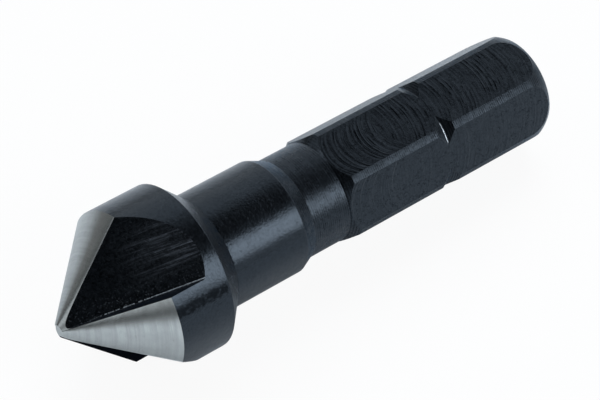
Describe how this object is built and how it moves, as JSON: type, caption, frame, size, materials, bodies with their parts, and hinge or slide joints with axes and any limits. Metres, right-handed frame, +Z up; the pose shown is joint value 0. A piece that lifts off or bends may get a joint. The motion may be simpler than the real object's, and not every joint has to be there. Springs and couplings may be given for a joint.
{
  "type": "countersink bit",
  "caption": "Three-flute 90 degree countersink bit in black steel with ground cutting lands, on a short round neck and a quarter-inch hex shank, lying on its side.",
  "frame": {"origin": "on the ground under the middle of the tool as it lies", "axes": "+X along the tool from the nose to the shank's end, +Y to the left seen from the nose, +Z up; the tool axis dips towards the shank by about 4.3 degrees"},
  "size_m": [0.0336, 0.01, 0.0102],
  "materials": {
    "black_steel": "black oxide over turned and milled steel, with bright ground cutting lands"
  },
  "bodies": {
    "root": {"countersink_bit": "black_steel"}
  },
  "joints": []
}
